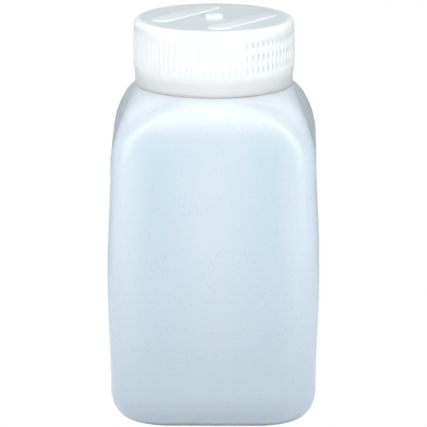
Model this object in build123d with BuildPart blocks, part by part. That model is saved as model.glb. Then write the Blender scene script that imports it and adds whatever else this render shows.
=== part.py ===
from build123d import *
import os
from math import cos, pi, radians, sin

# A square wide-mouth laboratory bottle for reagents, nominal 500 mL, with its screw cap on.
# The origin is at the middle of the stand ring, +Z goes up through the mouth and -Y is the front.
# All lengths are in millimetres and all angles in degrees.

# Heights
CAP_TOP_Z = 141.7  # flat top of the closed cap
CAP_HEIGHT = 23.4
SKIRT_Z = CAP_TOP_Z - CAP_HEIGHT  # lower edge of the closed cap
CAP_TOP_WALL = 1.8
LINER_THICKNESS = 1.2
CEILING_Z = CAP_TOP_Z - CAP_TOP_WALL  # inside of the cap's top
RIM_Z = CEILING_Z - LINER_THICKNESS  # top of the neck, which the liner seals

# Bottle: a square tube with rounded corners, a slight barrel, a soft heel and a soft shoulder
WIDTH_ENDS = 72.2  # across the flats, at the heel and at the shoulder
WIDTH_MIDDLE = 74.6  # across the flats, half way up
CORNER_RADIUS = 9.4  # of the upright corners
WALL = 1.4
HEEL_IN = 11.0  # how far the heel comes in from the side
HEEL_UP = 14.5  # how far up the side the heel starts
HEEL_START = 8.0  # the heel leaves the table at this slope
STAND_CORNER_RADIUS = 12.8  # of the stand ring, seen from below
SHOULDER_HEIGHT = 23.8
SHOULDER_RISE = 11.8  # how far the shoulder goes straight on up before it turns in
SHOULDER_REACH = 3.5  # how far the shoulder runs level before the neck
SHOULDER_RADIUS = 25.4  # where the shoulder meets the neck
SHOULDER_GAP = 0.3  # under the closed cap
SHOULDER_TOP_Z = SKIRT_Z - SHOULDER_GAP
ROUNDING = 2.0  # how late the shoulder turns from square to round

# Base: the middle stands off the table, with the weld line of the mould across it
STAND_RING = 4.5
PUSH_UP = 1.8
PUSH_UP_SLOPE = 5.0
WELD_LENGTH = 30.0
WELD_WIDTH = 1.2
WELD_HEIGHT = 0.5

# Neck
MOUTH_RADIUS = 22.5
NECK_RADIUS = 25.0  # between the threads
RIM_CHAMFER = 0.5

# Thread: one right-hand start, the same ridge on the neck and in the cap
PITCH = 4.5
TURNS = 2.4
STEPS_PER_TURN = 16
RIDGE_HEIGHT = 1.2
RIDGE_ROOT = 2.2
RIDGE_CREST = 1.0
RIDGE_SINK = 0.35  # how far a ridge is buried in its wall
FADE_TURNS = 0.08  # the part of a turn in which a ridge grows out of its wall
NECK_THREAD_END = -20.0  # where the neck's ridge ends, under the rim
NECK_THREAD_TOP = RIM_Z - 1.65
CAP_THREAD_LEAD = 90.0  # the cap's ridge ends this much further round
CAP_THREAD_DROP = 1.85  # and lies this far under the neck's, so that turning pulls the cap down

# Cap
CAP_BORE_RADIUS = 26.55  # between the threads
SKIRT_RADIUS = 28.0
TOP_BAND_RADIUS = 28.7
TOP_ROUNDING = 1.8
TOP_BAND_DEPTH = 3.0  # where the plain band over the grip ends, below the top
GROOVE_DEPTH = 3.6  # where it has run in to the roots of the ribs
GRIP_ROOT_RADIUS = 28.3
GRIP_RADIUS = 29.0  # over the ribs
GRIP_LEDGE_RADIUS = 28.85
GRIP_TOP = 3.4  # depth of the ribs' upper ends below the top
GRIP_BOTTOM = 16.4
RIB_COUNT = 80
RIB_ROUND = 0.6
RIB_RUN_IN = 1.4  # the upper ends of the ribs slope out over this length
RIB_SWELL = 6.0  # and they stand fully off the cap from here down
RIB_RUN_OUT = 1.0
LEDGE_RISE = 0.6  # the skin runs out to the ledge over this height
STEP_DEPTH = 19.4  # where the step under the ledge has run in to the skirt, below the top
SKIRT_BEVEL_IN = 0.4  # the lead-in inside the skirt
SKIRT_BEVEL_UP = 0.6
BEAD_RADIUS = 25.7  # of the bead that holds the liner in the cap
BEAD_FOOT = 0.9  # how far under the rim the bead starts
BEAD_LOW = 0.55  # its narrow part runs from here
BEAD_HIGH = 0.3  # to here
BEAD_TOP = 0.1
BOSS_RADIUS = 3.4  # gate boss in the middle of the top
BOSS_HEIGHT = 1.2
BAR_LENGTH = 36.0  # of the two plain bars on the top
BAR_WIDTH = 8.0
BAR_HEIGHT = 0.35
BAR_OFFSET = 12.3
BAR_ANGLE = 55.0

# Liner
LINER_RADIUS = 26.1


def bezier(a, b, c, d, t):
    """A cubic curve from a to d, steered by b and c."""
    s = 1 - t
    return s**3 * a + 3 * s**2 * t * b + 3 * s * t**2 * c + t**3 * d


def heel_level(t):
    """Half width, height and corner radius on the heel, from the table at t = 0 to the side at 1."""
    turn = radians(HEEL_START + (90 - HEEL_START) * t)
    drawn_in = 1 - sin(turn)
    half = WIDTH_ENDS / 2 - HEEL_IN * drawn_in
    height = HEEL_UP * (cos(radians(HEEL_START)) - cos(turn))
    return half, height, CORNER_RADIUS + (STAND_CORNER_RADIUS - CORNER_RADIUS) * drawn_in


def side_level(t):
    """The same on the side, which swells gently between the heel and the shoulder."""
    low, high = heel_level(1)[1], SKIRT_Z - SHOULDER_HEIGHT
    swell = (WIDTH_MIDDLE - WIDTH_ENDS) / 2 * sin(pi * t) ** 2
    return WIDTH_ENDS / 2 + swell, low + (high - low) * t, CORNER_RADIUS


def shoulder_level(t):
    """The same on the shoulder, where the square turns into the round neck."""
    low = SKIRT_Z - SHOULDER_HEIGHT
    wide, narrow = WIDTH_ENDS / 2, SHOULDER_RADIUS
    half = bezier(wide, wide, narrow + SHOULDER_REACH, narrow, t)
    height = bezier(low, low + SHOULDER_RISE, SHOULDER_TOP_Z, SHOULDER_TOP_Z, t)
    blend = ((wide - half) / (wide - narrow)) ** ROUNDING
    nearly_round = narrow - 0.2
    return half, height, CORNER_RADIUS + (nearly_round - CORNER_RADIUS) * blend


def outer_levels():
    """The outside of the bottle as rounded squares, from the stand ring up to the neck."""
    levels = [heel_level(t) for t in (0, 0.2, 0.4, 0.6, 0.8)]
    levels += [side_level(t) for t in (0, 0.17, 0.34, 0.5, 0.66, 0.83)]
    levels += [shoulder_level(t) for t in (0, 0.17, 0.34, 0.5, 0.64, 0.76, 0.88, 1)]
    return levels


def inner_levels(levels):
    """The inside: each level moved in by the wall, square to the side's slope there."""
    moved = []
    for i, (half, height, corner) in enumerate(levels):
        below, above = levels[max(i - 1, 0)], levels[min(i + 1, len(levels) - 1)]
        run, rise = above[0] - below[0], above[1] - below[1]
        length = (run**2 + rise**2) ** 0.5
        inward, upward = WALL * rise / length, WALL * run / length
        moved.append((half - inward, height + upward, corner - inward))
    moved[0] = (levels[0][0], WALL, levels[0][2])
    moved[-1] = (MOUTH_RADIUS + 0.3, SHOULDER_TOP_Z - WALL, MOUTH_RADIUS)
    return moved


def ridge_plane(radius, angle, height):
    """The plane square to the thread at one angle, with its x axis pointing away from the neck."""
    turn = radians(angle)
    lead = PITCH / (2 * pi * radius)
    return Plane(
        origin=(radius * cos(turn), radius * sin(turn), height),
        x_dir=(cos(turn), sin(turn), 0),
        z_dir=(-sin(turn), cos(turn), lead),
    )


def build_ridge(radius, outward, end_angle, end_height):
    """A thread ridge on a round wall, growing out of it at both ends; outward is 1 or -1."""
    steps = round(TURNS * STEPS_PER_TURN)
    with BuildPart() as ridge:
        for i in range(steps + 1):
            back = TURNS * (1 - i / steps)
            grown = min(1, 0.1 + 0.9 * min(back, TURNS - back) / FADE_TURNS)
            place = ridge_plane(radius, end_angle - 360 * back, end_height - PITCH * back)
            sink, reach = -RIDGE_SINK * outward, RIDGE_HEIGHT * grown * outward
            root, crest = RIDGE_ROOT / 2, RIDGE_CREST / 2
            with BuildSketch(place):
                with BuildLine():
                    Polyline((sink, -root), (sink, root), (0, root), (reach, crest),
                             (reach, -crest), (0, -root), close=True)
                make_face()
        loft()
    return ridge.part


neck_ridge = build_ridge(NECK_RADIUS, 1, NECK_THREAD_END, NECK_THREAD_TOP)
cap_ridge = build_ridge(
    CAP_BORE_RADIUS,
    -1,
    NECK_THREAD_END + CAP_THREAD_LEAD,
    NECK_THREAD_TOP + PITCH * CAP_THREAD_LEAD / 360 - CAP_THREAD_DROP,
)

# The bottle, blow-moulded in one piece
with BuildPart() as bottle:
    for half, height, corner in outer_levels():
        with BuildSketch(Plane.XY.offset(height)):
            RectangleRounded(2 * half, 2 * half, corner)
    loft()
    with BuildSketch(Plane.XZ):
        with BuildLine():
            Polyline((0, SHOULDER_TOP_Z - 2), (NECK_RADIUS, SHOULDER_TOP_Z - 2),
                     (NECK_RADIUS, RIM_Z - RIM_CHAMFER), (NECK_RADIUS - RIM_CHAMFER, RIM_Z),
                     (0, RIM_Z), close=True)
        make_face()
    revolve(axis=Axis.Z)
    add(neck_ridge)

    # the hollow, then the mouth
    for half, height, corner in inner_levels(outer_levels()):
        with BuildSketch(Plane.XY.offset(height)):
            RectangleRounded(2 * half, 2 * half, corner)
    loft(mode=Mode.SUBTRACT)
    with BuildSketch(Plane.XZ):
        with BuildLine():
            Polyline((0, SHOULDER_TOP_Z - WALL - 1), (MOUTH_RADIUS, SHOULDER_TOP_Z - WALL - 1),
                     (MOUTH_RADIUS, RIM_Z - RIM_CHAMFER), (MOUTH_RADIUS + RIM_CHAMFER, RIM_Z),
                     (0, RIM_Z), close=True)
        make_face()
    revolve(axis=Axis.Z, mode=Mode.SUBTRACT)

    # the base pushed up inside the stand ring: first the raised floor, then the recess under it
    ring_inside = heel_level(0)[0] - STAND_RING
    for growth, low, change in ((WALL, WALL - 0.1, Mode.ADD), (0, 0, Mode.SUBTRACT)):
        with BuildSketch(Plane.XY.offset(low)):
            RectangleRounded(2 * (ring_inside + growth), 2 * (ring_inside + growth), 9)
        with BuildSketch(Plane.XY.offset(PUSH_UP + growth)):
            middle = ring_inside + growth - PUSH_UP_SLOPE
            RectangleRounded(2 * middle, 2 * middle, 7)
        loft(mode=change)
    with BuildSketch(Plane.XY.offset(PUSH_UP - WELD_HEIGHT)):
        RectangleRounded(WELD_LENGTH, WELD_WIDTH, WELD_WIDTH / 2 - 0.05)
    extrude(amount=WELD_HEIGHT + WALL / 2)
bottle.part.label = "bottle"

# The grip of the cap: upright ribs that swell towards the ledge under them
with BuildPart() as grip:
    with BuildSketch(Plane.XY.offset(CAP_TOP_Z - GRIP_BOTTOM)):
        Circle(GRIP_ROOT_RADIUS + 0.02)
        with PolarLocations(GRIP_RADIUS - RIB_ROUND, RIB_COUNT):
            Circle(RIB_ROUND)
        Circle(GRIP_ROOT_RADIUS - 0.8, mode=Mode.SUBTRACT)
    extrude(amount=GRIP_BOTTOM - GRIP_TOP)
    with BuildSketch(Plane.XZ):
        with BuildLine():
            Polyline((CAP_BORE_RADIUS, CAP_TOP_Z - GRIP_BOTTOM), (CAP_BORE_RADIUS, CAP_TOP_Z - GRIP_TOP),
                     (GRIP_ROOT_RADIUS + 0.05, CAP_TOP_Z - GRIP_TOP),
                     (GRIP_RADIUS - 0.25, CAP_TOP_Z - GRIP_TOP - RIB_RUN_IN),
                     (GRIP_RADIUS, CAP_TOP_Z - GRIP_TOP - RIB_SWELL),
                     (GRIP_RADIUS, CAP_TOP_Z - GRIP_BOTTOM + RIB_RUN_OUT),
                     (GRIP_RADIUS - 0.4, CAP_TOP_Z - GRIP_BOTTOM), close=True)
        make_face()
    revolve(axis=Axis.Z, mode=Mode.INTERSECT)

# The cap, injection-moulded in one piece
with BuildPart() as screw_cap:
    with BuildSketch(Plane.XZ):
        with BuildLine():
            skin = FilletPolyline(
                (0, CAP_TOP_Z), (TOP_BAND_RADIUS, CAP_TOP_Z), (TOP_BAND_RADIUS, CAP_TOP_Z - TOP_BAND_DEPTH),
                (GRIP_ROOT_RADIUS, CAP_TOP_Z - GROOVE_DEPTH),
                (GRIP_ROOT_RADIUS, CAP_TOP_Z - GRIP_BOTTOM + LEDGE_RISE),
                (GRIP_LEDGE_RADIUS, CAP_TOP_Z - GRIP_BOTTOM), (SKIRT_RADIUS, CAP_TOP_Z - STEP_DEPTH),
                (SKIRT_RADIUS, SKIRT_Z), (CAP_BORE_RADIUS + SKIRT_BEVEL_IN, SKIRT_Z),
                radius=(TOP_ROUNDING, 0.3, 0, 0, 0.3, 0, 0.4),
            )
            Polyline(skin @ 1, (CAP_BORE_RADIUS, SKIRT_Z + SKIRT_BEVEL_UP), (CAP_BORE_RADIUS, CEILING_Z),
                     (0, CEILING_Z), skin @ 0)
        make_face()
    revolve(axis=Axis.Z)
    add(grip.part)
    add(cap_ridge)

    # the bead under the liner
    with BuildSketch(Plane.XZ):
        with BuildLine():
            Polyline((CAP_BORE_RADIUS + 0.2, RIM_Z - BEAD_FOOT), (CAP_BORE_RADIUS, RIM_Z - BEAD_FOOT),
                     (BEAD_RADIUS, RIM_Z - BEAD_LOW), (BEAD_RADIUS, RIM_Z - BEAD_HIGH),
                     (CAP_BORE_RADIUS, RIM_Z - BEAD_TOP), (CAP_BORE_RADIUS + 0.2, RIM_Z - BEAD_TOP),
                     close=True)
        make_face()
    revolve(axis=Axis.Z)

    # the gate boss and the two plain bars on top
    with BuildSketch(Plane.XZ):
        with BuildLine():
            dome = FilletPolyline((BOSS_RADIUS, CAP_TOP_Z - 0.3), (BOSS_RADIUS - 0.3, CAP_TOP_Z + BOSS_HEIGHT),
                                  (0, CAP_TOP_Z + BOSS_HEIGHT), radius=0.7)
            Polyline(dome @ 1, (0, CAP_TOP_Z - 0.3), dome @ 0)
        make_face()
    revolve(axis=Axis.Z)
    with BuildSketch(Plane.XY.offset(CAP_TOP_Z - 0.3).rotated((0, 0, BAR_ANGLE))):
        with Locations((0, BAR_OFFSET), (0, -BAR_OFFSET)):
            SlotOverall(BAR_LENGTH, BAR_WIDTH)
    extrude(amount=BAR_HEIGHT + 0.3)
screw_cap.part.label = "screw_cap"

# The liner, a foam disc that lies loose between the cap's top and the rim
with BuildPart() as cap_liner:
    with BuildSketch(Plane.XY.offset(RIM_Z)):
        Circle(LINER_RADIUS)
    extrude(amount=LINER_THICKNESS)
    chamfer(cap_liner.edges(), 0.15)
cap_liner.part.label = "cap_liner"

os.makedirs("parts", exist_ok=True)
for piece in (bottle, screw_cap, cap_liner):
    export_step(piece.part, f"parts/{piece.part.label}.step")
    print(piece.part.label, piece.part.is_valid, len(piece.part.solids()), round(piece.part.volume))
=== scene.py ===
from math import atan2, cos, hypot, pi, radians, sin, sqrt, tan, tau

import bmesh
import bpy
from bpy.props import FloatProperty, FloatVectorProperty, IntProperty, PointerProperty
from mathutils import Matrix, Vector


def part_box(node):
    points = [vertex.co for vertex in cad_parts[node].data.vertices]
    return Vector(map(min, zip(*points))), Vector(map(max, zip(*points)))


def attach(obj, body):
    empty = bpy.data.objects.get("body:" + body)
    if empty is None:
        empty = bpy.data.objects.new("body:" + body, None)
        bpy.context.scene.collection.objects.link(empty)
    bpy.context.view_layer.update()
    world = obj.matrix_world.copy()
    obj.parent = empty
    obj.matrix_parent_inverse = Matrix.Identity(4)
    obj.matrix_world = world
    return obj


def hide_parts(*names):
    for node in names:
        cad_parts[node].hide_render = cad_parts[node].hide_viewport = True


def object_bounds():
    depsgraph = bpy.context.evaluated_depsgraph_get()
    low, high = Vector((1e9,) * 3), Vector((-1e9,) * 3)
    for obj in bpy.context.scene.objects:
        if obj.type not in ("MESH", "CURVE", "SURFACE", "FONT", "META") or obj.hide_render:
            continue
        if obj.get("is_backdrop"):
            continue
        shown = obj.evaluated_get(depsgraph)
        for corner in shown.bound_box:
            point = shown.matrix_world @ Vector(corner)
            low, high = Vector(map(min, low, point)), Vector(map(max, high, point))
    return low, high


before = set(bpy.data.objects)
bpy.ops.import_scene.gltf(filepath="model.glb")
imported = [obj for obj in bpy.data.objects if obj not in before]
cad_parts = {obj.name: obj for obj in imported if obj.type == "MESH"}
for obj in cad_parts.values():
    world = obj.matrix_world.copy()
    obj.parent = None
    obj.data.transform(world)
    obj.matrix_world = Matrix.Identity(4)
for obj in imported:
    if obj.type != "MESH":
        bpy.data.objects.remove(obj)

bl_info = {
    "name": "Square Reagent Bottle",
    "version": (1, 0, 0),
    "blender": (4, 5, 0),
    "location": "3D View > Sidebar > Bottle",
    "description": "Builds a square wide-mouth reagent bottle, its ribbed cap and its foam liner",
    "category": "Object",
}

MM = 0.001
HEEL_START = radians(8)  # slope at which the heel leaves the table
IOR = 1.5  # of both plastics
SCATTER = (1.0, 1.08, 1.15)  # how far red, green and blue light go in them, of the same depth
DAYLIGHT = (0.9, 0.96, 1)  # colour of the lamps and the room
BOTTLE_LOW, BOTTLE_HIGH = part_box("bottle")
CAP_LOW, CAP_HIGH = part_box("screw_cap")
LINER_LOW, LINER_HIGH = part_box("cap_liner")


def length(name, description, default_mm):
    """A size in metres, given here in millimetres."""
    return FloatProperty(
        name=name, description=description, default=default_mm * MM, unit="LENGTH", precision=5
    )


def angle(name, description, default_degrees):
    """An angle, given here in degrees."""
    return FloatProperty(
        name=name, description=description, default=radians(default_degrees), subtype="ANGLE"
    )


def colour(name, description, default):
    """A colour, as linear red, green and blue."""
    return FloatVectorProperty(
        name=name, description=description, default=default, subtype="COLOR", min=0, max=1
    )


class BottleSizes(bpy.types.PropertyGroup):
    """Sizes of the blow-moulded bottle; heights are above the table."""

    rim: length("Rim", "Height of the sealing rim", BOTTLE_HIGH.z / MM)
    width_middle: length("Width, middle", "Across the flats, half way up", 2 * BOTTLE_HIGH.x / MM - 0.2)
    width_ends: length("Width, ends", "Across the flats, at the heel and the shoulder", 72.2)
    corner: length("Corner", "Radius of the upright corners", 9.4)
    wall: length("Wall", "Thickness of the side wall", 1.4)
    heel_in: length("Heel, in", "How far the heel comes in from the side", 11)
    heel_up: length("Heel, up", "How far up the side the heel starts", 14.5)
    stand_corner: length("Stand corner", "Corner radius of the stand ring", 12.8)
    stand_ring: length("Stand ring", "Width of the flat ring that the bottle stands on", 4.5)
    push_up: length("Push-up", "How far the middle of the base stands off the table", 1.8)
    shoulder: length("Shoulder", "From the start of the shoulder up to the cap's edge", 23.8)
    shoulder_rise: length("Shoulder rise", "How far the shoulder goes straight on up", 11.8)
    shoulder_reach: length("Shoulder reach", "How far the shoulder runs level before it ends", 0.3)
    shoulder_radius: length("Shoulder radius", "Radius where the shoulder ends, under the cap's edge", 27.4)
    rounding: FloatProperty(name="Rounding", description="How late the shoulder turns round", default=2.7)
    shoulder_gap: length("Shoulder gap", "From the top of the shoulder up to the cap's edge", 0.06)
    neck: length("Neck", "Radius of the neck between the threads", 25)
    mouth: length("Mouth", "Radius of the mouth", 22.5)
    rim_bevel: length("Rim bevel", "Bevel on both edges of the rim", 0.5)
    seam: length("Mould line", "Height of the mould's parting line", 0.09)


class CapSizes(bpy.types.PropertyGroup):
    """Sizes of the screw cap; depths are below its flat top."""

    skirt_edge: length("Skirt edge", "Height of the cap's lower edge above the table", CAP_LOW.z / MM)
    height: length("Height", "From the lower edge to the flat top", 23.4)
    top_wall: length("Top wall", "Thickness of the top", 1.8)
    bore: length("Bore", "Inside radius between the threads", 26.55)
    skirt: length("Skirt", "Radius of the plain skirt", 27.85)
    top_band: length("Top band", "Radius of the band over the grip", 28.3)
    top_round: length("Top rounding", "Radius of the top edge", 1.8)
    grip_root: length("Grip root", "Radius between the ribs", 28.22)
    grip: length("Grip", "Radius over the ribs", CAP_HIGH.x / MM - 0.45)
    grip_ledge: length("Grip ledge", "Radius of the ledge under the ribs", 28.4)
    grip_top: length("Grip top", "Depth of the ribs' upper ends", 3.4)
    grip_bottom: length("Grip bottom", "Depth of the ribs' lower ends", 16.4)
    step_bottom: length("Step bottom", "Depth where the step under the grip ends", 19.4)
    ribs: IntProperty(name="Ribs", description="Number of grip ribs", default=80, min=12)
    rib_half: length("Rib half width", "Half the width of a rib at its root", 0.95)
    bead: length("Bead", "Inside radius of the bead that holds the liner", 25.7)
    boss: length("Boss", "Radius of the gate boss", 3.4)
    boss_height: length("Boss height", "Height of the gate boss", 1.2)
    bar_length: length("Bar length", "Length of the two plain bars on the top", 36)
    bar_width: length("Bar width", "Width of the bars", 8)
    bar_height: length("Bar height", "How far the bars stand off the top", 0.35)
    bar_offset: length("Bar offset", "From the middle of the top to the middle of a bar", 12.3)
    bar_turn: angle("Bar turn", "Direction of the bars", 55)


class ThreadSizes(bpy.types.PropertyGroup):
    """The right-hand thread that the neck and the cap share."""

    pitch: length("Pitch", "Rise in one turn", 4.5)
    turns: FloatProperty(name="Turns", description="Turns of each ridge", default=2.4, min=0.5)
    height: length("Height", "How far a ridge stands off its wall", 1.2)
    root: length("Root", "Width of a ridge at its wall", 2.2)
    crest: length("Crest", "Width of a ridge at its top", 1)
    sink: length("Sink", "How far a ridge is buried in its wall", 0.35)
    fade: FloatProperty(name="Fade", description="Part of a turn in which a ridge grows", default=0.08)
    neck_end: angle("Neck end", "Where the neck's ridge ends", -20)
    neck_top: length("Neck top", "Depth of the neck's ridge below the rim", 1.65)
    cap_lead: angle("Cap lead", "How much further the cap's ridge ends", 90)
    cap_drop: length("Cap drop", "How far the cap's ridge lies under the neck's", 1.85)


class Finishes(bpy.types.PropertyGroup):
    """Colours of the three plastics, with painted shade and painted light on the bottle and the cap."""

    natural: colour("Natural polyethylene", "Colour of the bottle", (0.57, 0.635, 0.69))
    # Painted shade: darker bands on the flat sides, just in from the upright corners.
    natural_corner_shade: colour("Natural, deep", "Where the bottle's wall is thick", (0.495, 0.585, 0.65))
    # Painted shade: the bottle turns darker and greyer towards the heel.
    natural_low_shade: colour("Natural, low", "Near the bottle's heel", (0.44, 0.5, 0.54))
    # Painted light: the shoulder is made whiter than the flat sides.
    natural_shoulder_light: colour("Natural, shoulder", "Above the flat sides", (0.62, 0.655, 0.69))
    natural_neck: colour("Natural, neck", "The thick neck under the cap", (0.74, 0.785, 0.82))
    white: colour("White polypropylene", "Colour of the cap", (0.95, 0.965, 0.97))
    # Painted shade: the flat face of the top is greyer than the raised bars and the boss.
    white_top_shade: colour("Top", "The sunk face of the cap's top", (0.72, 0.77, 0.8))
    # Painted light: the skirt under the grip is made whiter than the rest of the cap.
    skirt: colour("Skirt", "The thin skirt under the grip", (0.985, 0.995, 1))
    # Painted shade where the thread lies behind the grooves, shown only at the front right.
    thread_shade: colour("Thread shade", "Where the thread shows through the cap", (0.66, 0.73, 0.74))
    foam: colour("Liner foam", "Colour of the liner", (0.9, 0.92, 0.92))


# Shapes


def bezier(a, b, c, d, t):
    """A cubic curve from a to d, steered by b and c."""
    s = 1 - t
    return s**3 * a + 3 * s**2 * t * b + 3 * s * t**2 * c + t**3 * d


def smooth(t):
    """A number from 0 to 1, changed so that it starts and ends gently."""
    return t * t * (3 - 2 * t)


def steps(count):
    """Evenly spaced numbers from 0 up to, but not including, 1."""
    return [i / count for i in range(count)]


def shoulder_start(bottle, cap):
    """Height where the flat sides end."""
    return cap.skirt_edge - bottle.shoulder


def heel_levels(bottle):
    """Half width, height and corner radius up the heel."""
    levels, start = [], HEEL_START
    for t in steps(14):
        turn = start + (pi / 2 - start) * t
        drawn_in = 1 - sin(turn)
        half = bottle.width_ends / 2 - bottle.heel_in * drawn_in
        corner = bottle.corner + (bottle.stand_corner - bottle.corner) * drawn_in
        levels.append((half, bottle.heel_up * (cos(start) - cos(turn)), corner))
    return levels


def side_levels(bottle, cap):
    """The same up the side, which swells gently half way up."""
    low = bottle.heel_up * cos(HEEL_START)
    high = shoulder_start(bottle, cap)
    swell = (bottle.width_middle - bottle.width_ends) / 2
    return [
        (bottle.width_ends / 2 + swell * sin(pi * t) ** 2, low + (high - low) * t, bottle.corner)
        for t in steps(22)
    ]


def shoulder_levels(bottle, cap):
    """The same over the shoulder, where the square turns into the round neck."""
    low, high = shoulder_start(bottle, cap), cap.skirt_edge - bottle.shoulder_gap
    wide, narrow = bottle.width_ends / 2, bottle.shoulder_radius
    levels = []
    for t in steps(26) + [1]:
        half = bezier(wide, wide, narrow + bottle.shoulder_reach, narrow, t)
        height = bezier(low, low + bottle.shoulder_rise, high, high, t)
        blend = ((wide - half) / (wide - narrow)) ** bottle.rounding
        levels.append((half, height, bottle.corner + (narrow - 0.2 * MM - bottle.corner) * blend))
    return levels


def neck_levels(bottle, cap):
    """Up the outside of the neck, over the rim and down into the mouth, all of them round."""
    neck, mouth, top = bottle.neck, bottle.mouth, bottle.rim
    bevel, eased = bottle.rim_bevel, bottle.rim_bevel * 0.3
    foot = cap.skirt_edge - bottle.shoulder_gap
    straight = top - bevel - foot
    path = [(neck + 0.25 * MM, foot), (neck, foot + 0.3 * MM)]
    path += [(neck, foot + straight * t) for t in (0.25, 0.5, 0.75, 1)]
    path += [(neck - eased, top - eased), (neck - bevel, top), (mouth + bevel, top)]
    path += [(mouth + eased, top - eased), (mouth, top - bevel)]
    path += [(mouth, top - 8 * MM), (mouth, top - 16 * MM)]
    return [(radius, height, radius) for radius, height in path]


def moved_in(levels, wall):
    """Levels moved in by the wall, square to the side's slope at each one."""
    moved = []
    for i, (half, height, corner) in enumerate(levels):
        below, above = levels[max(i - 1, 0)], levels[min(i + 1, len(levels) - 1)]
        run, rise = above[0] - below[0], above[1] - below[1]
        inward, upward = wall * rise / hypot(run, rise), wall * run / hypot(run, rise)
        moved.append((half - inward, height + upward, corner - inward))
    return moved


def base_levels(bottle, growth):
    """From the middle of the base out to the stand ring; growth moves them up to the floor inside."""
    heel_foot = bottle.width_ends / 2 - bottle.heel_in * (1 - sin(HEEL_START))
    ring_inside = heel_foot - bottle.stand_ring + growth
    slope, corner, corner_growth = 5 * MM, 7 * MM, 2 * MM
    middle = ring_inside - slope
    levels = [(middle * t, bottle.push_up + growth, corner * t) for t in (0.15, 0.4, 0.7, 0.95)]
    for t in (0, 0.25, 0.5, 0.75, 1):
        half = middle + slope * (0.05 + 0.95 * t)
        height = bottle.push_up * (1 - smooth(t)) + growth
        levels.append((half, height, corner + corner_growth * t))
    return levels


def columns():
    """Directions of the upright edges: close together round the corners and at the mould line."""
    flat = [0, 0.45, 4, 8, 12, 16, 20, 24, 28, 31.5, 34.5]  # degrees from the middle of a side
    eighth = flat + [36.5 + 1.0625 * i for i in range(8)]
    quarter = eighth + [45] + [90 - a for a in reversed(eighth[1:])]
    return [radians(a + 90 * side) for side in range(4) for a in quarter]


def reach(half, corner, angle):
    """Distance from the axis to a rounded square, in one direction."""
    turn = abs((angle + pi / 4) % (pi / 2) - pi / 4)
    flat = half - corner
    if half * tan(turn) <= flat:
        return half / cos(turn)
    along = flat * (cos(turn) + sin(turn))
    return along + sqrt(max(along**2 - 2 * flat**2 + corner**2, 0))


def next_ring(bm, edges):
    """The vertices and edges of a ring extruded from the last one, where it still lies."""
    made = bmesh.ops.extrude_edge_only(bm, edges=edges)["geom"]
    ring = [g for g in made if isinstance(g, bmesh.types.BMVert)]
    return ring, [g for g in made if isinstance(g, bmesh.types.BMEdge) and all(v in ring for v in g.verts)]


def tube(levels, angles):
    """A closed skin through rounded squares: each ring is extruded from the one before."""
    bm = bmesh.new()
    column = bm.verts.layers.int.new("column")
    start = bmesh.ops.create_circle(bm, segments=len(angles), radius=1)["verts"]
    for i, vert in enumerate(start):
        vert[column] = i
    ring, edges = start, list(bm.edges)
    for i, (half, height, corner) in enumerate(levels):
        if i:
            ring, edges = next_ring(bm, edges)
        for vert in ring:
            angle = angles[vert[column]]
            out = reach(half, corner, angle)
            vert.co = (out * cos(angle), out * sin(angle), height)
    for end, height in ((start, levels[0][1]), (ring, levels[-1][1])):
        bmesh.ops.pointmerge(bm, verts=end, merge_co=(0, 0, height))
    bmesh.ops.recalc_face_normals(bm, faces=bm.faces)
    return bm


def ridge(sizes, radius, outward, end_angle, end_height):
    """A thread ridge on a round wall, growing out of it at both ends; outward is 1 or -1."""
    bm = bmesh.new()
    steps_a_turn = 72
    count = round(sizes.turns * steps_a_turn)
    sink, root, crest = -sizes.sink, sizes.root / 2, sizes.crest / 2
    point = bm.verts.layers.int.new("point")
    start = bmesh.ops.create_circle(bm, segments=6, radius=1)["verts"]
    for i, vert in enumerate(start):
        vert[point] = i
    ring, edges = start, list(bm.edges)
    for i in range(count + 1):
        if i:
            ring, edges = next_ring(bm, edges)
        back = sizes.turns * (1 - i / count)
        near = min(back, sizes.turns - back) / sizes.fade
        grown = min(1, 0.08 + 0.92 * smooth(min(near, 1)))
        top = sizes.height * grown
        section = [(sink, -root), (0, -root), (top, -crest), (top, crest), (0, root), (sink, root)]
        angle = end_angle - tau * back
        for vert in ring:
            off, up = section[vert[point]]
            out = radius + off * outward
            vert.co = (out * cos(angle), out * sin(angle), end_height - sizes.pitch * back + up)
    for end in (start, ring):
        bmesh.ops.contextual_create(bm, geom=end)
    bmesh.ops.recalc_face_normals(bm, faces=bm.faces)
    return bm


def round_profile(corners):
    """An open outline in the XZ plane from (radius, height, rounding) corners, from axis to axis."""
    bm = bmesh.new()
    verts = [bmesh.ops.create_vert(bm, co=(radius, 0, height))["vert"][0] for radius, height, _ in corners]
    for a, b in zip(verts, verts[1:]):
        bm.edges.new((a, b))
    for vert, (_, _, rounding) in zip(verts, corners):
        if rounding:
            bmesh.ops.bevel(
                bm, geom=[vert], affect="VERTICES", offset=rounding, segments=5, profile=0.5, material=-1
            )
    return bm


def spun(bm, count):
    """The outline in bm spun all the way round the bottle's axis."""
    bmesh.ops.spin(
        bm, geom=list(bm.verts) + list(bm.edges), cent=(0, 0, 0), axis=(0, 0, 1), dvec=(0, 0, 0), angle=tau,
        steps=count, use_merge=True,
    )
    bmesh.ops.remove_doubles(bm, verts=bm.verts, dist=1e-6)
    bmesh.ops.recalc_face_normals(bm, faces=bm.faces)
    return bm


def piece_from(bm, name):
    """A new object in the scene with bm's mesh."""
    mesh = bpy.data.meshes.new(name)
    bm.to_mesh(mesh)
    bm.free()
    piece = bpy.data.objects.new(name, mesh)
    bpy.context.scene.collection.objects.link(piece)
    return piece


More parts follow.
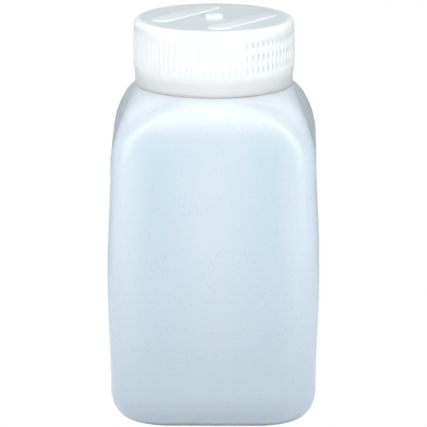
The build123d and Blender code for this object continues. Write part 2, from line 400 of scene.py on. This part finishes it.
def joined(piece, *additions):
    """The piece with the additions fused on, as one closed mesh; the additions are used up."""
    for addition in additions:
        modifier = piece.modifiers.new("fuse", "BOOLEAN")
        modifier.operation, modifier.solver, modifier.object = "UNION", "EXACT", addition
        bpy.context.view_layer.update()
        mesh = bpy.data.meshes.new_from_object(piece.evaluated_get(bpy.context.evaluated_depsgraph_get()))
        piece.modifiers.clear()
        old, piece.data = piece.data, mesh
        mesh.name = piece.name
        bpy.data.meshes.remove(old)
        bpy.data.objects.remove(addition)
    return piece


def finished(piece, material, body, node, crease=35):
    """Smooth shading with creases, the material, and the piece's place in the frame."""
    mesh = piece.data
    mesh.materials.clear()
    mesh.materials.append(material)
    mesh.shade_smooth()
    mesh.set_sharp_from_angle(angle=radians(crease))
    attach(piece, body)
    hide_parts(node)


# Finishes, with painted shade and light


def eased(tree, value, low, high):
    """0 on low's side, 1 on high's side and smooth between them."""
    node = tree.nodes.new("ShaderNodeMapRange")
    node.interpolation_type = "SMOOTHSTEP"
    tree.links.new(value, node.inputs["Value"])
    node.inputs["From Min"].default_value = low
    node.inputs["From Max"].default_value = high
    return node.outputs["Result"]


def blend(tree, factor, a, b):
    """A node that turns colour a into colour b as the factor rises."""
    node = tree.nodes.new("ShaderNodeMix")
    node.data_type = "RGBA"
    node.inputs["A"].default_value = (*a, 1)
    node.inputs["B"].default_value = (*b, 1)
    tree.links.new(factor, node.inputs["Factor"])
    return node


class Masks:
    """A node group being written: object coordinates in, one number or more out."""

    def __init__(self, name, outputs, inputs=()):
        self.tree = bpy.data.node_groups.new(name, "ShaderNodeTree")
        for label, default in inputs:
            socket = self.tree.interface.new_socket(label, in_out="INPUT", socket_type="NodeSocketFloat")
            socket.default_value = default
        for label in outputs:
            self.tree.interface.new_socket(label, in_out="OUTPUT", socket_type="NodeSocketFloat")
        self.enter = self.tree.nodes.new("NodeGroupInput").outputs
        self.leave = self.tree.nodes.new("NodeGroupOutput").inputs
        self.place = self.tree.nodes.new("ShaderNodeTexCoord").outputs["Object"]
        parts = self.tree.nodes.new("ShaderNodeSeparateXYZ")
        self.tree.links.new(self.place, parts.inputs["Vector"])
        self.x, self.y, self.z = parts.outputs

    def feed(self, socket, value):
        """Link a socket to the value, or set it to a plain number."""
        if isinstance(value, bpy.types.NodeSocket):
            self.tree.links.new(value, socket)
        else:
            socket.default_value = value

    def math(self, operation, *values):
        """One Math node."""
        node = self.tree.nodes.new("ShaderNodeMath")
        node.operation = operation
        for socket, value in zip(node.inputs, values):
            self.feed(socket, value)
        return node.outputs[0]

    def ease(self, value, low, high):
        """0 below low, 1 above high and smooth between them."""
        return eased(self.tree, value, low, high)

    def without(self, value):
        """1 where the value is 0, and 0 where it is 1."""
        return self.math("SUBTRACT", 1.0, value)

    def noise(self, scale, detail, stretch=None):
        """Noise, which stretch draws out into streaks."""
        node = self.tree.nodes.new("ShaderNodeTexNoise")
        vector = self.place
        if stretch:
            mapping = self.tree.nodes.new("ShaderNodeMapping")
            mapping.inputs["Scale"].default_value = stretch
            mapping.inputs["Rotation"].default_value = (0.5, 0.3, 0.8)
            self.tree.links.new(vector, mapping.inputs["Vector"])
            vector = mapping.outputs["Vector"]
        self.tree.links.new(vector, node.inputs["Vector"])
        self.feed(node.inputs["Scale"], scale)
        node.inputs["Detail"].default_value = detail
        return node.outputs["Fac"]


def moulded_surface():
    """Shared by the plastics: fine grain from the mould, slow waves in the wall, and light scuffs."""
    name = "moulded_surface"
    if name in bpy.data.node_groups:
        return bpy.data.node_groups[name]
    inputs = (("Grain Scale", 2500.0), ("Wave Scale", 45.0), ("Wave Depth", 0.5), ("Scuff", 0.1))
    masks = Masks(name, ("Height", "Roughness Shift", "Cloud"), inputs)
    math = masks.math
    grain = masks.noise(masks.enter["Grain Scale"], 2)
    wave = masks.noise(masks.enter["Wave Scale"], 1)
    scratches = masks.noise(1, 1, stretch=(90, 700, 260))
    scuffed = math("MULTIPLY", masks.ease(scratches, 0.6, 0.75), masks.enter["Scuff"])
    waves = math("MULTIPLY", wave, masks.enter["Wave Depth"])
    masks.feed(masks.leave["Height"], math("ADD", math("MULTIPLY", grain, 0.12), waves))
    shift = math("MULTIPLY", math("SUBTRACT", grain, 0.5), 0.15)
    masks.feed(masks.leave["Roughness Shift"], math("ADD", shift, scuffed))
    masks.feed(masks.leave["Cloud"], wave)
    return masks.tree


def blown_wall():
    """Masks for the bottle's colour: painted shade beside the corners and low down, painted light on the
    shoulder, and the neck.
    """
    masks = Masks("blown_wall", ("Thick", "Low", "Shoulder", "Neck"))
    math, ease = masks.math, masks.ease
    # Each pair is in metres, from where a change starts to where it is complete.
    shade_begins, shade_ends = (0.003, 0.019), (0.021, 0.029)  # out from the middle of a side
    over_heel, under_shoulder = (0.002, 0.01), (0.099, 0.11)  # these and the rest are heights
    low, shoulder, neck = (-0.01, 0.095), (0.106, 0.112), (0.1175, 0.119)
    # Painted shade in bands on the flat sides, just in from the upright corners.
    along = math("MINIMUM", math("ABSOLUTE", masks.x), math("ABSOLUTE", masks.y))
    beside = math("MULTIPLY", ease(along, *shade_begins), masks.without(ease(along, *shade_ends)))
    upright = math("MULTIPLY", ease(masks.z, *over_heel), masks.without(ease(masks.z, *under_shoulder)))
    masks.feed(masks.leave["Thick"], math("MULTIPLY", beside, upright))
    # Painted shade, darker towards the bottom.
    masks.feed(masks.leave["Low"], masks.without(ease(masks.z, *low)))
    # Painted light on the shoulder.
    masks.feed(masks.leave["Shoulder"], ease(masks.z, *shoulder))
    masks.feed(masks.leave["Neck"], ease(masks.z, *neck))
    return masks.tree


def cap_wall(thread, cap, bottle):
    """Masks for the cap: painted shade on its flat top, painted light on its skirt, and painted shade where
    the thread lies behind the grooves between its ribs.
    """
    masks = Masks("cap_wall", ("Top", "Skirt", "Thread"))
    math, ease, without = masks.math, masks.ease, masks.without
    top = cap.skirt_edge + cap.height
    radius = math("SQRT", math("ADD", math("POWER", masks.x, 2), math("POWER", masks.y, 2)))
    # Painted shade on the flat face of the top, inside the top band.
    over, under = ease(masks.z, top - 0.4 * MM, top - 0.1 * MM), without(ease(masks.z, top, top + 0.2 * MM))
    flat = math("MULTIPLY", over, under)
    inside = without(ease(radius, cap.top_band - 3 * MM, cap.top_band - MM))
    masks.feed(masks.leave["Top"], math("MULTIPLY", flat, inside))

    low, high = top - cap.grip_bottom, top - cap.grip_top
    # Painted light on the skirt under the grip.
    masks.feed(masks.leave["Skirt"], without(ease(masks.z, low - 3 * MM, low + MM)))

    # Painted shade: a band along the thread, darker in the grooves between the ribs.
    turn = math("ARCTAN2", masks.y, masks.x)
    start = bottle.rim - thread.neck_top - thread.pitch * thread.neck_end / tau
    rise = math("DIVIDE", math("SUBTRACT", masks.z, start), thread.pitch)
    part = math("FRACT", math("ADD", math("SUBTRACT", rise, math("DIVIDE", turn, tau)), 0.5))
    band = without(ease(math("ABSOLUTE", math("SUBTRACT", part, 0.5)), 0.1, 0.36))
    groove = without(ease(radius, cap.grip_root + 0.1 * MM, cap.grip - 0.05 * MM))
    grip = math("MULTIPLY", ease(masks.z, low, low + MM), without(ease(masks.z, high - MM, high)))
    # The painted shade shows only where the lamps leave it, at the front right.
    off_middle = math("COSINE", math("ADD", turn, radians(39)))
    shade_shows = ease(off_middle, 0.85, 0.96)  # only at the front right
    shown = math("MULTIPLY", math("MULTIPLY", band, groove), math("MULTIPLY", grip, shade_shows))
    masks.feed(masks.leave["Thread"], shown)
    return masks.tree


def plastic(name, colour, roughness, bump, subsurface, depth, transmission=0, tints=(), **settings):
    """A translucent plastic: light scatters in it, and its surface has the mould's grain."""
    material = bpy.data.materials.new(name)
    material.use_nodes = True
    tree = material.node_tree
    link = tree.links.new
    surface = tree.nodes["Principled BSDF"]
    surface.inputs["IOR"].default_value = IOR
    surface.inputs["Subsurface Weight"].default_value = subsurface
    surface.inputs["Subsurface Radius"].default_value = SCATTER
    surface.inputs["Subsurface Scale"].default_value = depth
    surface.inputs["Transmission Weight"].default_value = transmission
    moulded = tree.nodes.new("ShaderNodeGroup")
    moulded.node_tree = moulded_surface()
    for key, value in settings.items():
        moulded.inputs[key.replace("_", " ").title()].default_value = value
    clouded = tuple(c * 0.97 for c in colour)
    groups = {moulded.node_tree: moulded}
    seen = None
    for group, output, tint in [(moulded.node_tree, "Cloud", clouded), *tints]:
        if group not in groups:
            groups[group] = tree.nodes.new("ShaderNodeGroup")
            groups[group].node_tree = group
        mix = blend(tree, groups[group].outputs[output], colour, tint)
        if seen:
            link(seen, mix.inputs["A"])
        seen = mix.outputs["Result"]
    link(seen, surface.inputs["Base Color"])
    rough = tree.nodes.new("ShaderNodeMath")
    rough.operation, rough.use_clamp = "ADD", True
    rough.inputs[1].default_value = roughness
    link(moulded.outputs["Roughness Shift"], rough.inputs[0])
    link(rough.outputs[0], surface.inputs["Roughness"])
    relief = tree.nodes.new("ShaderNodeBump")
    relief.inputs["Strength"].default_value = bump
    relief.inputs["Distance"].default_value = 0.2 * MM
    link(moulded.outputs["Height"], relief.inputs["Height"])
    link(relief.outputs["Normal"], surface.inputs["Normal"])
    return material


# Operators


class BOTTLE_OT_stage(bpy.types.Operator):
    """Make the pale floor, the soft lights and the camera"""

    bl_idname = "bottle.stage"
    bl_label = "Stage"

    def execute(self, context):
        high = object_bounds()[1]
        self.make_floor()
        self.make_lights(high.z)
        self.make_camera(context.scene)
        context.scene.view_settings.view_transform = "Standard"
        return {"FINISHED"}

    def make_floor(self):
        """A floor that is white to the camera and darker behind the bottle to everything else."""
        bm = bmesh.new()
        bmesh.ops.create_grid(bm, x_segments=1, y_segments=1, size=4)
        floor = piece_from(bm, "floor")
        material = bpy.data.materials.new("pale_floor")
        material.use_nodes = True
        tree = material.node_tree
        surface = tree.nodes["Principled BSDF"]
        place = tree.nodes.new("ShaderNodeTexCoord")
        parts = tree.nodes.new("ShaderNodeSeparateXYZ")
        tree.links.new(place.outputs["Object"], parts.inputs["Vector"])
        behind = eased(tree, parts.outputs["Y"], 0.05, 0.25)
        pale = blend(tree, behind, (0.92, 0.9, 0.9), (0.12, 0.13, 0.14))
        tree.links.new(pale.outputs["Result"], surface.inputs["Base Color"])
        surface.inputs["Roughness"].default_value = 0.9
        white = tree.nodes.new("ShaderNodeEmission")
        path = tree.nodes.new("ShaderNodeLightPath")
        mix = tree.nodes.new("ShaderNodeMixShader")
        tree.links.new(path.outputs["Is Camera Ray"], mix.inputs["Fac"])
        tree.links.new(surface.outputs["BSDF"], mix.inputs[1])
        tree.links.new(white.outputs["Emission"], mix.inputs[2])
        tree.links.new(mix.outputs["Shader"], tree.nodes["Material Output"].inputs["Surface"])
        floor.data.materials.append(material)
        floor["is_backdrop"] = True

    def make_lights(self, top):
        """Soft lamps all round, turned to a point near the middle of the bottle."""
        self.make_room()
        for name, place, wide, tall, power in (
            ("key", (-0.02, -0.5, 0.62), 1.2, 0.16, 4.9),
            ("left", (-0.75, -0.4, 0.34), 0.3, 0.7, 3.2),
            ("right", (0.66, -0.5, 0.26), 0.26, 0.7, 3.3),
            ("top", (0, 0.45, 0.75), 1.8, 0.3, 3.8),
        ):
            light = bpy.data.lights.new(name, "AREA")
            light.shape, light.size, light.size_y, light.energy = "RECTANGLE", wide, tall, power
            light.color = DAYLIGHT
            lamp = bpy.data.objects.new(name, light)
            lamp.location = place
            towards = Vector((0, 0, top * 0.6)) - Vector(place)
            lamp.rotation_euler = towards.to_track_quat("-Z", "Y").to_euler()
            bpy.context.scene.collection.objects.link(lamp)

    def make_room(self):
        """A bright room that is darker behind the bottle, low down."""
        world = bpy.data.worlds.new("soft_room")
        world.use_nodes = True
        tree = world.node_tree
        direction = tree.nodes.new("ShaderNodeTexCoord")
        parts = tree.nodes.new("ShaderNodeSeparateXYZ")
        tree.links.new(direction.outputs["Generated"], parts.inputs["Vector"])
        behind = eased(tree, parts.outputs["Y"], 0.2, 0.75)
        low_down = eased(tree, parts.outputs["Z"], 0.6, 0.3)
        both = tree.nodes.new("ShaderNodeMath")
        both.operation = "MULTIPLY"
        tree.links.new(behind, both.inputs[0])
        tree.links.new(low_down, both.inputs[1])
        shade = blend(tree, both.outputs[0], DAYLIGHT, (0.16, 0.18, 0.2))
        background = tree.nodes["Background"]
        background.inputs["Strength"].default_value = 0.58
        tree.links.new(shade.outputs["Result"], background.inputs["Color"])
        bpy.context.scene.world = world

    def make_camera(self, scene):
        """A long lens that looks down a little at the front."""
        data = bpy.data.cameras.new("camera")
        camera = bpy.data.objects.new("camera", data)
        scene.collection.objects.link(camera)
        elevation, azimuth = radians(12.4), radians(0.5)
        distance, across = 2.6, 0.1515
        aim = Vector((-0.0002, 0, 0.0709))
        back = Vector((sin(azimuth) * cos(elevation), -cos(azimuth) * cos(elevation), sin(elevation)))
        camera.location = aim + back * distance
        camera.rotation_euler = (-back).to_track_quat("-Z", "Y").to_euler()
        data.sensor_width = 36
        data.lens = data.sensor_width * distance / across
        data.clip_end = 20
        scene.camera = camera


class BOTTLE_OT_bottle(bpy.types.Operator):
    """Make the square bottle with its threaded neck"""

    bl_idname = "bottle.bottle"
    bl_label = "Bottle"

    def execute(self, context):
        scene = context.scene
        bottle, cap, thread = scene.bottle_sizes, scene.cap_sizes, scene.thread_sizes
        outside = heel_levels(bottle) + side_levels(bottle, cap) + shoulder_levels(bottle, cap)
        inside = moved_in(outside, bottle.wall)
        inside[0] = (outside[0][0], bottle.wall, outside[0][2])
        inside[-1] = (bottle.mouth + 0.3 * MM, outside[-1][1] - bottle.wall, bottle.mouth)
        levels = base_levels(bottle, 0) + outside + neck_levels(bottle, cap)
        levels += inside[::-1] + base_levels(bottle, bottle.wall)[::-1]
        shell = tube(levels, columns())
        self.raise_mould_line(shell, bottle)
        piece = piece_from(shell, "natural_bottle")
        thread_top = bottle.rim - thread.neck_top
        screw = piece_from(ridge(thread, bottle.neck, 1, thread.neck_end, thread_top), "neck_thread")
        joined(piece, screw)
        look = scene.finishes
        wall = blown_wall()
        # The tints paint shade beside the corners and low down, and light on the shoulder; the neck is
        # whiter.
        tints = [(wall, "Thick", look.natural_corner_shade), (wall, "Low", look.natural_low_shade)]
        tints += [(wall, "Shoulder", look.natural_shoulder_light), (wall, "Neck", look.natural_neck)]
        material = plastic(
            "natural_polyethylene", look.natural, roughness=0.3, bump=0.05, subsurface=1, depth=0.004,
            transmission=0.15, tints=tints, grain_scale=2600, wave_scale=40, wave_depth=4, scuff=0.04,
        )
        finished(piece, material, "bottle", "bottle")
        return {"FINISHED"}

    def raise_mould_line(self, bm, bottle):
        """The fine ridge where the two halves of the mould met, up both sides."""
        for vert in bm.verts:
            outside = abs(vert.co.x) > bottle.shoulder_radius and vert.normal.x * vert.co.x > 0
            if outside and abs(vert.co.y) < 0.02 * MM:
                vert.co.x += bottle.seam * (1 if vert.co.x > 0 else -1)


class BOTTLE_OT_cap(bpy.types.Operator):
    """Make the ribbed screw cap"""

    bl_idname = "bottle.cap"
    bl_label = "Screw cap"

    def execute(self, context):
        scene = context.scene
        bottle, cap, thread = scene.bottle_sizes, scene.cap_sizes, scene.thread_sizes
        columns_a_rib = 9
        shell = spun(self.profile(cap, bottle), cap.ribs * columns_a_rib)
        self.raise_ribs(shell, cap)
        piece = piece_from(shell, "ribbed_cap")
        end_height = bottle.rim - thread.neck_top + thread.pitch * thread.cap_lead / tau - thread.cap_drop
        end_angle = thread.neck_end + thread.cap_lead
        screw = piece_from(ridge(thread, cap.bore, -1, end_angle, end_height), "cap_thread")
        joined(piece, screw, *[self.bar(cap, side) for side in (-1, 1)])
        look = scene.finishes
        wall = cap_wall(thread, cap, bottle)
        # The tints paint shade on the flat top and along the thread, and light on the skirt.
        tints = [(wall, "Top", look.white_top_shade), (wall, "Skirt", look.skirt)]
        tints += [(wall, "Thread", look.thread_shade)]
        material = plastic(
            "white_polypropylene", look.white, roughness=0.38, bump=0.2, subsurface=1, depth=0.007,
            transmission=0.15, tints=tints, grain_scale=3200, wave_scale=120, wave_depth=0.4, scuff=0.1,
        )
        finished(piece, material, "cap", "screw_cap")
        return {"FINISHED"}

    def profile(self, cap, bottle):
        """The cap's section, from the boss round the outside and back up the bore."""
        top = cap.skirt_edge + cap.height
        ceiling = top - cap.top_wall
        grip_top, grip_bottom = top - cap.grip_top, top - cap.grip_bottom
        corners = [
            (0, top + cap.boss_height, 0),
            (cap.boss - 0.3 * MM, top + cap.boss_height, 0.6 * MM),
            (cap.boss, top, 0.15 * MM),
            (cap.boss + 4 * MM, top, 0),
            (cap.top_band * 0.55, top, 0),
            (cap.top_band * 0.8, top, 0),
            (cap.top_band, top, cap.top_round),
            (cap.top_band, top - 3 * MM, 0.2 * MM),
            (cap.grip_root, grip_top - 0.2 * MM, 0.1 * MM),
        ]
        corners += [(cap.grip_root, grip_top + (grip_bottom - grip_top) * t, 0) for t in steps(16)[1:]]
        corners += [
            (cap.grip_ledge, grip_bottom, 0.2 * MM),
            (cap.skirt, top - cap.step_bottom, 0.4 * MM),
            (cap.skirt, cap.skirt_edge, 0.15 * MM),
            (cap.bore + 0.4 * MM, cap.skirt_edge, 0.1 * MM),
            (cap.bore, cap.skirt_edge + 0.6 * MM, 0),
            (cap.bore, bottle.rim - 0.9 * MM, 0),
            (cap.bead, bottle.rim - 0.55 * MM, 0.1 * MM),
            (cap.bead, bottle.rim - 0.3 * MM, 0.1 * MM),
            (cap.bore, bottle.rim - 0.12 * MM, 0),
            (cap.bore, ceiling, 0),
            (0, ceiling, 0),
        ]
        return round_profile(corners)

    def raise_ribs(self, bm, cap):
        """The grip band's vertices pushed out into upright rounded ribs."""
        top = cap.skirt_edge + cap.height
        # Depths, each with the part of a rib's full height that is reached there
        grown = [(cap.grip_top, 0.05), (cap.grip_top + 1.4 * MM, 0.7), (9.4 * MM, 1)]
        grown += [(15.4 * MM, 1), (cap.grip_bottom, 0.5)]
        pitch = tau / cap.ribs
        height = cap.grip - cap.grip_root
        for vert in bm.verts:
            depth = top - vert.co.z
            radius = hypot(vert.co.x, vert.co.y)
            in_band = grown[0][0] < depth < grown[-1][0]
            if not in_band or radius < cap.grip_root - 0.1 * MM:
                continue
            for (d0, part0), (d1, part1) in zip(grown, grown[1:]):
                if d0 <= depth <= d1:
                    part = part0 + (part1 - part0) * (depth - d0) / (d1 - d0)
            angle = atan2(vert.co.y, vert.co.x)
            off = abs((angle + pitch / 2) % pitch - pitch / 2) * cap.grip / cap.rib_half
            if off < 1:
                pushed = max(radius, cap.grip_root + height * part * (1 - off**3))
                vert.co.x *= pushed / radius
                vert.co.y *= pushed / radius

    def bar(self, cap, side):
        """One of the two plain raised bars on the top."""
        bm = bmesh.new()
        end = cap.bar_width / 2
        half = bmesh.ops.create_circle(bm, segments=48, radius=end)["verts"]
        for vert in half:
            vert.co.x += (cap.bar_length / 2 - end) * (1 if vert.co.x > 0 else -1)
        base = bmesh.ops.contextual_create(bm, geom=list(bm.verts))["faces"]
        bmesh.ops.translate(bm, verts=bm.verts, vec=(0, 0, -0.3 * MM))
        lifted = bmesh.ops.extrude_face_region(bm, geom=base)["geom"]
        tops = [g for g in lifted if isinstance(g, bmesh.types.BMVert)]
        bmesh.ops.translate(bm, verts=tops, vec=(0, 0, 0.3 * MM + cap.bar_height))
        rim = [e for e in bm.edges if all(v in tops for v in e.verts)]
        bmesh.ops.bevel(bm, geom=rim, affect="EDGES", offset=0.22 * MM, segments=3, profile=0.5, material=-1)
        bmesh.ops.recalc_face_normals(bm, faces=bm.faces)
        top = cap.skirt_edge + cap.height
        turned = Matrix.Translation((0, 0, top)) @ Matrix.Rotation(cap.bar_turn, 4, "Z")
        placed = turned @ Matrix.Translation((0, side * cap.bar_offset, 0))
        bmesh.ops.transform(bm, matrix=placed, verts=bm.verts)
        return piece_from(bm, "top_bar")


class BOTTLE_OT_liner(bpy.types.Operator):
    """Make the loose foam liner"""

    bl_idname = "bottle.liner"
    bl_label = "Liner"

    def execute(self, context):
        low, high = LINER_LOW.z, LINER_HIGH.z
        radius = LINER_HIGH.x
        corners = [(0, high, 0), (radius * 0.5, high, 0), (radius, high, 0.15 * MM), (radius, low, 0.15 * MM)]
        corners += [(radius * 0.5, low, 0), (0, low, 0)]
        piece = piece_from(spun(round_profile(corners), 160), "foam_liner")
        material = plastic(
            "liner_foam", context.scene.finishes.foam, roughness=0.6, bump=0.5, subsurface=0.6, depth=0.002,
            grain_scale=1400, wave_scale=200, wave_depth=0.6, scuff=0,
        )
        finished(piece, material, "liner", "cap_liner")
        return {"FINISHED"}


class BOTTLE_PT_panel(bpy.types.Panel):
    """Sizes, colours and one button for each piece"""

    bl_idname = "BOTTLE_PT_panel"
    bl_label = "Reagent Bottle"
    bl_space_type = "VIEW_3D"
    bl_region_type = "UI"
    bl_category = "Bottle"

    def draw(self, context):
        layout = self.layout
        for operator in OPERATORS:
            layout.operator(operator.bl_idname)
        for group in ("bottle_sizes", "cap_sizes", "thread_sizes", "finishes"):
            settings = getattr(context.scene, group)
            box = layout.box()
            for name in settings.__annotations__:
                box.prop(settings, name)


OPERATORS = (BOTTLE_OT_stage, BOTTLE_OT_bottle, BOTTLE_OT_cap, BOTTLE_OT_liner)
GROUPS = {
    "bottle_sizes": BottleSizes,
    "cap_sizes": CapSizes,
    "thread_sizes": ThreadSizes,
    "finishes": Finishes,
}


def register():
    for group in GROUPS.values():
        bpy.utils.register_class(group)
    for name, group in GROUPS.items():
        setattr(bpy.types.Scene, name, PointerProperty(type=group))
    for operator in OPERATORS:
        bpy.utils.register_class(operator)
    bpy.utils.register_class(BOTTLE_PT_panel)


def unregister():
    bpy.utils.unregister_class(BOTTLE_PT_panel)
    for operator in reversed(OPERATORS):
        bpy.utils.unregister_class(operator)
    for name, group in GROUPS.items():
        delattr(bpy.types.Scene, name)
        bpy.utils.unregister_class(group)


def main():
    register()
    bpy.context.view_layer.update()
    bpy.ops.bottle.stage()
    bpy.ops.bottle.bottle()
    bpy.ops.bottle.liner()
    bpy.ops.bottle.cap()


if __name__ == "__main__":
    main()
